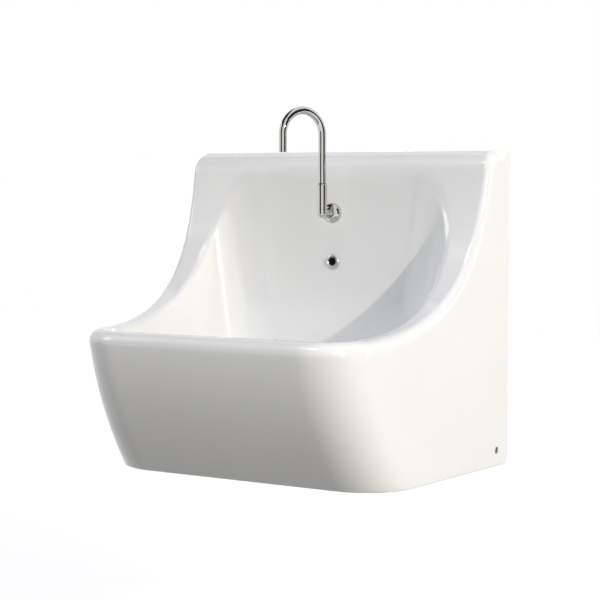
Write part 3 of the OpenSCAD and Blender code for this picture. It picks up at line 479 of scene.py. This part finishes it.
def hole_cutter(r, matrix):
    """A round cutter from the surface inwards, whose mouth flares as a glazed edge does."""
    flare = MOUTH_FLARE
    pts = [(r, -CUT_DEPTH), (r, -flare)]
    pts += [(r + flare * (1 - math.cos(a)), -flare + flare * math.sin(a))
            for a in map(math.radians, MOUTH_ANGLES)]
    pts.append((r + flare, MOUTH_CUT))
    verts, faces = lathe([(x * MM, z * MM) for x, z in pts])
    return verts, faces, matrix


def build_casting(glaze, biscuit):
    """The casting as one closed mesh, glazed outside and in the bowl, with its holes cut."""
    sections, split = casting_sections()
    loop = sections + [[s * vec(-1, 1, 1) for s in sec] for sec in sections[-2:0:-1]]
    n, rings = len(loop), len(sections[0])
    verts = [vec(p[0], -p[1], p[2] - ORIGIN_Z) * MM for sec in loop for p in sec]
    faces, mat = [], []
    for c in range(n):
        d = (c + 1) % n
        for r in range(rings - 1):
            faces.append((c * rings + r, c * rings + r + 1, d * rings + r + 1, d * rings + r))
            mat.append(1 if r >= split else 0)
        faces.append((c * rings + rings - 1, c * rings, d * rings, d * rings + rings - 1))
        mat.append(1)
    mesh = bpy.data.meshes.new("casting")
    mesh.from_pydata([tuple(v) for v in verts], [], faces)
    mesh.materials.append(glaze)
    mesh.materials.append(biscuit)
    mesh.polygons.foreach_set("material_index", mat)
    bm = bmesh.new()
    bm.from_mesh(mesh)
    bmesh.ops.remove_doubles(bm, verts=bm.verts, dist=2e-6)
    bmesh.ops.dissolve_degenerate(bm, edges=bm.edges, dist=1e-6)
    bmesh.ops.recalc_face_normals(bm, faces=bm.faces)
    bm.to_mesh(mesh)
    bm.free()
    obj = bpy.data.objects.new("casting", mesh)
    bpy.context.scene.collection.objects.link(obj)
    side = Matrix.Rotation(math.pi / 2, 4, "Y")
    cutters = []
    for s in (-1, 1):
        turn = Matrix.Rotation(-SIDE_A, 4, "Z")
        at = turn @ Vector((0, -SIDE_P * MM, 0)) + Vector((TROUGH_W / 2, 0, SIDE_Z - ORIGIN_Z)) * MM
        m = Matrix.Translation(at) @ turn @ side
        if s < 0:
            m = Matrix.Scale(-1, 4, (1, 0, 0)) @ m
        cutters.append(hole_cutter(SIDE_HOLE_D / 2, m))
    for z, d in ((SPOUT_Z, SPOUT_HOLE_D), (SENSOR_Z, SENSOR_HOLE_D)):
        cutters.append(hole_cutter(d / 2, place(FACE_P, z, OUTWARD)))
    cut_holes(obj, cutters)
    return smooth(obj, CASTING_SHARP)


def build_ledge(side, biscuit):
    """A cast ledge behind the splashback, with the groove that drops over the hanger."""
    w, near, deep = LEDGE_W / 2, LEDGE_GAP, FACE_P - LEDGE_COVER
    slot, top = SLOT_P + SLOT_W, LEDGE_Z + LEDGE_H
    pts = [(near, LEDGE_Z), (SLOT_P, LEDGE_Z), (SLOT_P, LEDGE_Z + SLOT_H), (slot, LEDGE_Z + SLOT_H),
           (slot, LEDGE_Z), (deep, LEDGE_Z), (deep, top), (near, top)]
    n = len(pts)
    cx = side * HANGER_PITCH / 2
    verts = [((cx + s * w) * MM, -p * MM, (z - ORIGIN_Z) * MM) for s in (-1, 1) for p, z in pts]
    faces = [(i, (i + 1) % n, n + (i + 1) % n, n + i) for i in range(n)]
    faces += [tuple(range(n))[::-1], tuple(range(n, 2 * n))]
    obj = mesh_object("ledge_" + ("left" if side < 0 else "right"), verts, faces, [biscuit], sharp=LEDGE_SHARP)
    bm = bmesh.new()
    bm.from_mesh(obj.data)
    bmesh.ops.recalc_face_normals(bm, faces=bm.faces)
    bmesh.ops.bevel(bm, geom=bm.edges[:], offset=LEDGE_ROUND * MM, segments=3, profile=0.6, affect="EDGES")
    bm.to_mesh(obj.data)
    bm.free()
    return smooth(obj, LEDGE_SHARP)


def arc(cx, cz, rx, rz, a0, a1, n):
    """Points (radius, height) on an arc, whose angles are in degrees."""
    steps = [math.radians(mix(a0, a1, i / n)) for i in range(n + 1)]
    return [(cx + rx * math.cos(a), cz + rz * math.sin(a)) for a in steps]


def closed_strip(rings):
    """Vertices and faces of a tube of rings that ends where it starts."""
    m, n = len(rings), len(rings[0])
    faces = [(j * n + i, j * n + (i + 1) % n, (j + 1) % m * n + (i + 1) % n, (j + 1) % m * n + i)
             for j in range(m) for i in range(n)]
    return [v for ring in rings for v in ring], faces


def finished(obj):
    """Turns the faces outward and shades them smooth."""
    bm = bmesh.new()
    bm.from_mesh(obj.data)
    bmesh.ops.recalc_face_normals(bm, faces=bm.faces)
    bm.to_mesh(obj.data)
    bm.free()
    return smooth(obj, SHARP)


def turned_ring(name, outline, matrix, n=64, look="chrome"):
    """A hollow turned piece: a closed outline of (radius, height) in millimetres."""
    turns = [2 * math.pi * i / n for i in range(n)]
    rings = [[matrix @ Vector((r * MM * math.cos(a), r * MM * math.sin(a), h * MM)) for a in turns]
             for r, h in outline]
    return finished(mesh_object(name, *closed_strip(rings), [LOOKS[look]]))


def build_neck():
    """The swan neck: one bent tube with its bore, its lower edge broken."""
    spin = place(AXIS_P, ORIGIN_Z, SPOUT_FRAME)
    path = [(0, TUBE_Z, 180), (0, TUBE_Z + TUBE_BREAK, 180)]
    bend = arc(ARCH_R, ARCH_Z, ARCH_R, ARCH_R, 180, 0, BEND_STEPS)
    path += [(x, z, a) for (x, z), a in zip(bend, np.linspace(180, 0, BEND_STEPS + 1))]
    path += [(2 * ARCH_R, TIP_Z, 0)]

    def ring(x, z, a, r):
        out = Vector((math.cos(math.radians(a)), 0, math.sin(math.radians(a))))
        mid = Vector((x, 0, z - ORIGIN_Z))
        turns = [2 * math.pi * i / TUBE_SIDES for i in range(TUBE_SIDES)]
        return [spin @ ((mid + out * (r * math.cos(t)) + Vector((0, r * math.sin(t), 0))) * MM)
                for t in turns]

    rings = [ring(x, z, a, TUBE_R - (TUBE_BREAK if i == 0 else 0)) for i, (x, z, a) in enumerate(path)]
    rings += [ring(x, z, a, BORE_R) for x, z, a in path[::-1]]
    return finished(mesh_object("swan_neck", *closed_strip(rings), [LOOKS["chrome"]]))


def build_foot():
    """The elbow of the spout: tail, brim, arm, and the ball under the sleeve."""
    rod = [(TAIL_R, TAIL_P), (TAIL_R, SEAT_P), (BRIM_R, SEAT_P), (BRIM_R, SEAT_P + BRIM_T),
           (ARM_R, SEAT_P + BRIM_T), (ARM_R, AXIS_P)]
    ball = arc(0, 0, SLEEVE_R, SLEEVE_R, -86, 0, 20)
    ball += [(SLEEVE_R, COLLAR_H - SEAM_BREAK), (SLEEVE_R - SEAM_BREAK, COLLAR_H),
             (NIPPLE_R, COLLAR_H), (NIPPLE_R, COLLAR_H + NIPPLE_H)]
    at_arm, at_ball = place(0, SPOUT_Z, OUTWARD), place(AXIS_P, SPOUT_Z)

    def solid(points, matrix):
        verts, faces = lathe([(r * MM, h * MM) for r, h in points], 64)
        return [matrix @ Vector(v) for v in verts], faces

    foot = mesh_object("spout_foot", *solid(ball, at_ball), [LOOKS["chrome"]])
    cut_holes(finished(foot), [(*solid(rod, at_arm), Matrix())], "UNION")
    cut_holes(foot, [(*solid([(WATER_R, TAIL_P - CUT_OVER), (WATER_R, AXIS_P)], at_arm), Matrix()),
                     (*solid([(WATER_R, 0), (WATER_R, RISER_CUT)], at_ball), Matrix())])
    return finished(foot)


def build_sleeve():
    """The sleeve over the elbow, with its two bores and the hole of the grub screw."""
    thread_r = NIPPLE_R + THREAD_GAP
    outline = [(thread_r, SLEEVE_Z), (SLEEVE_R - SEAM_BREAK, SLEEVE_Z), (SLEEVE_R, SLEEVE_Z + SEAM_BREAK),
               (SLEEVE_R, SLEEVE_END - SLEEVE_BREAK), (SLEEVE_R - SLEEVE_BREAK, SLEEVE_END),
               (SOCKET_R, SLEEVE_END), (SOCKET_R, BORE_Z), (WATER_R, BORE_Z), (WATER_R, WEB_Z),
               (thread_r, WEB_Z)]
    sleeve = turned_ring("swivel_sleeve", outline, place(AXIS_P, 0))
    verts, faces = lathe([(SCREW_R * MM, 0), (SCREW_R * MM, (SLEEVE_R + CUT_OVER) * MM)], 24)
    cut_holes(sleeve, [(verts, faces, place(AXIS_P, SCREW_Z, INWARD))])
    return finished(sleeve)


def build_nozzle():
    """The lip at the outlet, with the collar that sits in the tube."""
    outline = [(NOZZLE_R, -LIP_H), (LIP_R - LIP_BREAK, -LIP_H), (LIP_R, -LIP_H + LIP_BREAK),
               (LIP_R, -STEP_BREAK), (LIP_R - STEP_BREAK, 0),
               (NOZZLE_IN_R, 0), (NOZZLE_IN_R, NOZZLE_IN), (NOZZLE_R, NOZZLE_IN)]
    tip = place(AXIS_P, TIP_Z, SPOUT_FRAME @ Matrix.Translation((2 * ARCH_R * MM, 0, 0)))
    return turned_ring("nozzle_lip", outline, tip)


def build_flange():
    """The thin dome that covers the spout's hole."""
    span = FLANGE_R - FLANGE_HOLE_R
    outline = [(FLANGE_R - DOME_T, 0), (FLANGE_R, 0)]
    outline += arc(FLANGE_HOLE_R, DOME_LIP, span, DOME_H - DOME_LIP, 0, 90, 20)
    outline += arc(FLANGE_HOLE_R, DOME_LIP, span - DOME_T, DOME_H - DOME_LIP - DOME_T, 90, 0, 20)
    return turned_ring("flange_dome", outline, place(SEAT_P, SPOUT_Z, OUTWARD), 96)


def build_sensor_ring():
    """The domed ring round the sensor's lens."""
    bore = LENS_R + THREAD_GAP
    outline = [(bore, 0), (RING_R, 0)]
    outline += arc(RING_R - RING_ROUND, RING_FOOT, RING_ROUND, RING_T - RING_FOOT, 0, 90, 10)
    outline += [(bore + RING_BREAK, RING_T), (bore, RING_T - RING_BREAK)]
    at = place(FACE_P + SENSOR_SEAT, SENSOR_Z, OUTWARD)
    return turned_ring("sensor_ring", outline, at, 96, look="satin_chrome")


# Materials
NOISE_RANGE = (0.3, 0.7)


def new_material(name):
    m = bpy.data.materials.new(name)
    m.use_nodes = True
    t = m.node_tree
    return m, t, t.nodes["Principled BSDF"]


def node(t, kind, **inputs):
    n = t.nodes.new(kind)
    for key, value in inputs.items():
        n.inputs[key.replace("_", " ")].default_value = value
    return n


def noise(t, scale, detail=3.0, rough=0.5):
    coords = t.nodes.new("ShaderNodeTexCoord")
    n = node(t, "ShaderNodeTexNoise", Scale=scale, Detail=detail, Roughness=rough)
    t.links.new(coords.outputs["Object"], n.inputs["Vector"])
    return n


def ranged(t, source, lo, hi, out_lo, out_hi):
    n = node(t, "ShaderNodeMapRange", From_Min=lo, From_Max=hi, To_Min=out_lo, To_Max=out_hi)
    t.links.new(source, n.inputs["Value"])
    return n.outputs["Result"]


def spread(t, cloud, lo, hi):
    """The usual range of a noise, spread from lo to hi."""
    return ranged(t, cloud.outputs["Fac"], *NOISE_RANGE, lo, hi)


def tinted(t, fac, a, b):
    n = t.nodes.new("ShaderNodeMix")
    n.data_type = "RGBA"
    n.inputs["A"].default_value = (*a, 1)
    n.inputs["B"].default_value = (*b, 1)
    t.links.new(fac, n.inputs["Factor"])
    return n.outputs["Result"]


def add_bump(t, shader, height, distance, strength=1.0, after=None):
    n = node(t, "ShaderNodeBump", Strength=strength, Distance=distance)
    t.links.new(height, n.inputs["Height"])
    if after is not None:
        t.links.new(after, n.inputs["Normal"])
    t.links.new(n.outputs["Normal"], shader.inputs["Normal"])
    return n.outputs["Normal"]


def glaze_material(name, light, shade, rough):
    """White glaze: slow waves of the casting under an orange peel, and a hint of cloudiness."""
    m, t, s = new_material(name)
    cloud = noise(t, 5.0, 2.0)
    t.links.new(tinted(t, spread(t, cloud, 0, 1), light, shade), s.inputs["Base Color"])
    smear = noise(t, 24.0, 4.0)
    t.links.new(spread(t, smear, rough * 0.8, rough * 1.25), s.inputs["Roughness"])
    s.inputs["IOR"].default_value = 1.5
    s.inputs["Coat Weight"].default_value = 0.15
    s.inputs["Coat Roughness"].default_value = 0.04
    wave = add_bump(t, s, noise(t, 9.0, 1.0).outputs["Fac"], 0.0007, 0.5)
    add_bump(t, s, noise(t, 160.0, 2.0).outputs["Fac"], 0.00003, 0.5, wave)
    return m


def biscuit_material():
    """Thin, duller glaze of the hidden back, with the clay showing through in patches."""
    m, t, s = new_material("back_glaze")
    patch = noise(t, 7.0, 6.0, 0.6)
    bare = ranged(t, patch.outputs["Fac"], 0.42, 0.68, 0, 1)
    t.links.new(tinted(t, bare, (0.80, 0.79, 0.76), (0.70, 0.67, 0.61)), s.inputs["Base Color"])
    t.links.new(spread(t, patch, 0.3, 0.6), s.inputs["Roughness"])
    add_bump(t, s, noise(t, 60.0, 4.0).outputs["Fac"], 0.0004, 0.5)
    return m


def metal_material(name, color, rough, grain=0.0, worn=None):
    """Metal with a film that varies its tone and polish, and a grain where one is given."""
    m, t, s = new_material(name)
    s.inputs["Metallic"].default_value = 1.0
    film = noise(t, 30.0, 5.0, 0.6)
    worn = worn or [c * 0.9 for c in color]
    t.links.new(tinted(t, film.outputs["Fac"], color, worn), s.inputs["Base Color"])
    t.links.new(spread(t, film, rough * 0.7, rough * 1.4), s.inputs["Roughness"])
    if grain:
        add_bump(t, s, noise(t, 400.0, 3.0).outputs["Fac"], grain, 0.6)
    return m


def plastic_material(name, color, rough, grain=0.00003, scale=500.0):
    """Plastic or rubber with a faint dusty film and a fine grain."""
    m, t, s = new_material(name)
    film = noise(t, 18.0, 4.0)
    dusty = [c * 0.88 + 0.004 for c in color]
    t.links.new(tinted(t, film.outputs["Fac"], color, dusty), s.inputs["Base Color"])
    t.links.new(spread(t, film, rough * 0.85, min(rough * 1.2, 1)), s.inputs["Roughness"])
    add_bump(t, s, noise(t, scale, 2.0).outputs["Fac"], grain, 0.5)
    return m


def seen_white(t, level):
    """Level for what the camera, metal and glass see, nothing for the light on the object."""
    path = t.nodes.new("ShaderNodeLightPath")
    either = path.outputs["Is Camera Ray"]
    for name in ("Is Glossy Ray", "Is Transmission Ray"):
        top = node(t, "ShaderNodeMath")
        top.operation = "MAXIMUM"
        t.links.new(either, top.inputs[0])
        t.links.new(path.outputs[name], top.inputs[1])
        either = top.outputs[0]
    return ranged(t, either, 0, 1, 0, level)


# Lamps and cards of the studio: where they point, in metres, and how far away a card stands
LAMP_AIM, CARD_AIM, CARD_DISTANCE = (0, -0.3, -0.15), (0.05, -0.15, 0.1), 2.2


def facing(name, data, azimuth, elevation, distance=0.0, aim=(0, 0, 0)):
    """A lamp or card turned to its aim. Azimuth 0 stands in front of the trough, 90 at its right."""
    a, e = math.radians(azimuth), math.radians(elevation)
    offset = Vector((math.sin(a) * math.cos(e), -math.cos(a) * math.cos(e), math.sin(e)))
    obj = bpy.data.objects.new(name, data)
    obj.location = Vector(aim) + offset * distance
    obj.rotation_euler = (-offset).to_track_quat("-Z", "Y").to_euler()
    bpy.context.scene.collection.objects.link(obj)
    return obj


def near_light(name, azimuth, elevation, distance, size, power, color):
    """A small square lamp, for the hard highlights and the edge of the shadow in the bowl."""
    data = bpy.data.lights.new(name, "AREA")
    data.shape = "RECTANGLE"
    data.size = data.size_y = size
    data.energy, data.color = power, color
    return facing(name, data, azimuth, elevation, distance, LAMP_AIM)


def far_light(name, azimuth, elevation, angle, color):
    """A soft light far away, whose colour is also its strength."""
    data = bpy.data.lights.new(name, "SUN")
    data.energy, data.angle = max(color), math.radians(angle)
    data.color = [c / max(color) for c in color]
    return facing(name, data, azimuth, elevation)


def flag(name, azimuth, elevation, width, height):
    """A black card of the studio, seen only in reflections."""
    bm = bmesh.new()
    bmesh.ops.create_grid(bm, x_segments=1, y_segments=1, size=0.5)
    bmesh.ops.scale(bm, vec=(width, height, 1), verts=bm.verts)
    mesh = bpy.data.meshes.new(name)
    bm.to_mesh(mesh)
    bm.free()
    mesh.materials.append(FLAG)
    obj = facing(name, mesh, azimuth, elevation, CARD_DISTANCE, CARD_AIM)
    obj.visible_camera = obj.visible_diffuse = obj.visible_shadow = False


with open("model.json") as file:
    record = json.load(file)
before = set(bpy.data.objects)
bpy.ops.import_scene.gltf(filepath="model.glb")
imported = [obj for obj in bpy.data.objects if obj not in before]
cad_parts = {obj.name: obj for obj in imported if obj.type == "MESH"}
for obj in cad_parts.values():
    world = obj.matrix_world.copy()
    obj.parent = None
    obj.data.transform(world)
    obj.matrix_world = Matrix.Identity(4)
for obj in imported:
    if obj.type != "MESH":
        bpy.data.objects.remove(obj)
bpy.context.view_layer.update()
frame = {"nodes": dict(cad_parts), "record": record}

# Looks of the CAD pieces by their material slot
GLAZE = glaze_material("glaze", (0.86, 0.865, 0.86), (0.84, 0.845, 0.835), 0.11)
BACK = biscuit_material()
LOOKS = {
    "chrome": metal_material("chrome", (0.62, 0.61, 0.59), 0.045),
    "satin_chrome": metal_material("satin_chrome", (0.66, 0.66, 0.65), 0.3),
    "polished_steel": metal_material("polished_steel", (0.68, 0.68, 0.69), 0.16, 0.00002),
    "zinc_steel": metal_material("zinc_steel", (0.60, 0.61, 0.62), 0.32, 0.00005),
    "brass": metal_material("brass", (0.70, 0.53, 0.26), 0.28, 0.00003),
    "copper": metal_material("copper", (0.74, 0.42, 0.28), 0.25, 0.00002, (0.55, 0.28, 0.18)),
    "black_rubber": plastic_material("black_rubber", (0.025, 0.025, 0.026), 0.62, 0.00006, 300.0),
    "black_plastic": plastic_material("black_plastic", (0.03, 0.03, 0.032), 0.42),
    "grey_nylon": plastic_material("grey_nylon", (0.13, 0.13, 0.14), 0.5),
    "white_plastic": plastic_material("white_plastic", (0.80, 0.80, 0.79), 0.3, 0.00002),
    "lens": plastic_material("lens", (0.006, 0.006, 0.008), 0.06, 0.000004),
}
LOOKS["lens"].node_tree.nodes["Principled BSDF"].inputs["Specular IOR Level"].default_value = 0.15
slots = {s["node"]: s["material_slot"] for s in frame["record"]["subparts"]}
for name, obj in frame["nodes"].items():
    if slots[name] in LOOKS:
        obj.data.materials.clear()
        obj.data.materials.append(LOOKS[slots[name]])

# Forms that stand in for CAD pieces, and what each rides on
casting = build_casting(GLAZE, BACK)
ledges = [build_ledge(side, BACK) for side in (-1, 1)]
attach(casting, "trough_body")
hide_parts("trough")
for ledge in ledges:
    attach(ledge, "trough_body")
bright = {"spout_tube": build_neck(), "outlet_nozzle": build_nozzle(), "spout_sleeve": build_sleeve(),
          "spout_elbow": build_foot(), "wall_flange": build_flange(), "sensor_bezel": build_sensor_ring()}
for name, piece in bright.items():
    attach(piece, "spout_body" if name in ("spout_tube", "outlet_nozzle") else "trough_body")
    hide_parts(name)

# Floor: a pale floor that shows white and keeps the shadow
FLOOR_DROP, FLOOR_GLOW = 0.62, 0.8
bm = bmesh.new()
bmesh.ops.create_grid(bm, x_segments=8, y_segments=8, size=9)
floor_mesh = bpy.data.meshes.new("floor")
bm.to_mesh(floor_mesh)
bm.free()
floor = bpy.data.objects.new("floor", floor_mesh)
floor.location = (0, 0, -FLOOR_DROP - ORIGIN_Z * MM)
bpy.context.scene.collection.objects.link(floor)
m, t, s = new_material("floor")
s.inputs["Base Color"].default_value = (0.25, 0.25, 0.25, 1)
s.inputs["Roughness"].default_value = 0.9
white = node(t, "ShaderNodeEmission", Color=(1, 1, 1, 1))
t.links.new(seen_white(t, FLOOR_GLOW), white.inputs["Strength"])
both = t.nodes.new("ShaderNodeAddShader")
t.links.new(s.outputs["BSDF"], both.inputs[0])
t.links.new(white.outputs["Emission"], both.inputs[1])
t.links.new(both.outputs["Shader"], t.nodes["Material Output"].inputs["Surface"])
floor_mesh.materials.append(m)

# World: white to the camera and in reflections
world = bpy.data.worlds.new("studio")
bpy.context.scene.world = world
world.use_nodes = True
t = world.node_tree
t.nodes.clear()
room = node(t, "ShaderNodeBackground", Color=(1, 1, 1, 1))
t.links.new(seen_white(t, 1), room.inputs["Strength"])
out = t.nodes.new("ShaderNodeOutputWorld")
t.links.new(room.outputs["Background"], out.inputs["Surface"])

# Lights, fitted to the colours of the photograph
key = near_light("key", 67, 16, 6.0, 0.1, 153, (1, 0.971, 0.994))
far_lights = [far_light(*row) for row in (
    ("left", -85, 8, 40, (0.10, 0.12, 0.09)), ("low_left", -50, 8, 40, (0.06, 0.06, 0.02)),
    ("front_right", 75, 8, 40, (0.94, 0.91, 0.84)), ("right", 110, 8, 40, (0.79, 0.75, 0.81)),
    ("fill_left", -60, 25, 20, (0.46, 0.44, 0.39)), ("fill_right", 60, 25, 20, (0.36, 0.31, 0.10)),
    ("back", 190, 4, 40, (0.80, 0.80, 0.82)),
    ("band_left", -30, 55, 14, (0.71, 0.71, 0.88)), ("band_front", 0, 55, 14, (0.53, 0.58, 0.68)))]

# The photograph shows no shadow of the spout, so the lights pass it by
no_block = bpy.data.collections.new("no_block")
for name in ("flow_straightener", "spout_spigot", "spout_o_rings", "bearing_ring", "grub_screw",
             "flange_gasket"):
    no_block.objects.link(frame["nodes"][name])
# The chrome shows the white room and the black cards instead of the far lights
bright_metal = bpy.data.collections.new("bright_metal")
for name, piece in bright.items():
    if name != "sensor_bezel":
        bright_metal.objects.link(piece)
        no_block.objects.link(piece)
for item in [*no_block.collection_objects, *bright_metal.collection_objects]:
    item.light_linking.link_state = "EXCLUDE"
for light in [key, *far_lights]:
    light.light_linking.blocker_collection = no_block
for light in far_lights:
    light.light_linking.receiver_collection = bright_metal

# Black cards that the chrome mirrors
FLAG, t, s = new_material("flag")
s.inputs["Base Color"].default_value = (0.02, 0.02, 0.02, 1)
s.inputs["Roughness"].default_value = 0.9
for card in (("flag_front", -18, 17, 1.6, 2.4), ("flag_right", 85, 17, 2.2, 2.4),
             ("flag_ceiling", -60, 58, 3.0, 2.0)):
    flag(*card)

# Camera at the photograph's angle: azimuth and pitch in degrees, place in metres from the bottom edge
CAMERA_LENS, CAMERA_AZIMUTH, CAMERA_PITCH = 96.912, 30.934, 4.073
CAMERA_X, CAMERA_Y, CAMERA_Z = 1.8459, -3.3169, 0.6231
camera_data = bpy.data.cameras.new("camera")
camera_data.sensor_width = 36
camera_data.lens = CAMERA_LENS
camera = bpy.data.objects.new("camera", camera_data)
a, p = math.radians(CAMERA_AZIMUTH), math.radians(CAMERA_PITCH)
look = Vector((-math.sin(a) * math.cos(p), math.cos(a) * math.cos(p), -math.sin(p)))
camera.location = (CAMERA_X, CAMERA_Y, CAMERA_Z - ORIGIN_Z * MM)
camera.rotation_euler = look.to_track_quat("-Z", "Y").to_euler()
bpy.context.scene.collection.objects.link(camera)
bpy.context.scene.camera = camera
bpy.context.scene.view_settings.view_transform = "Standard"
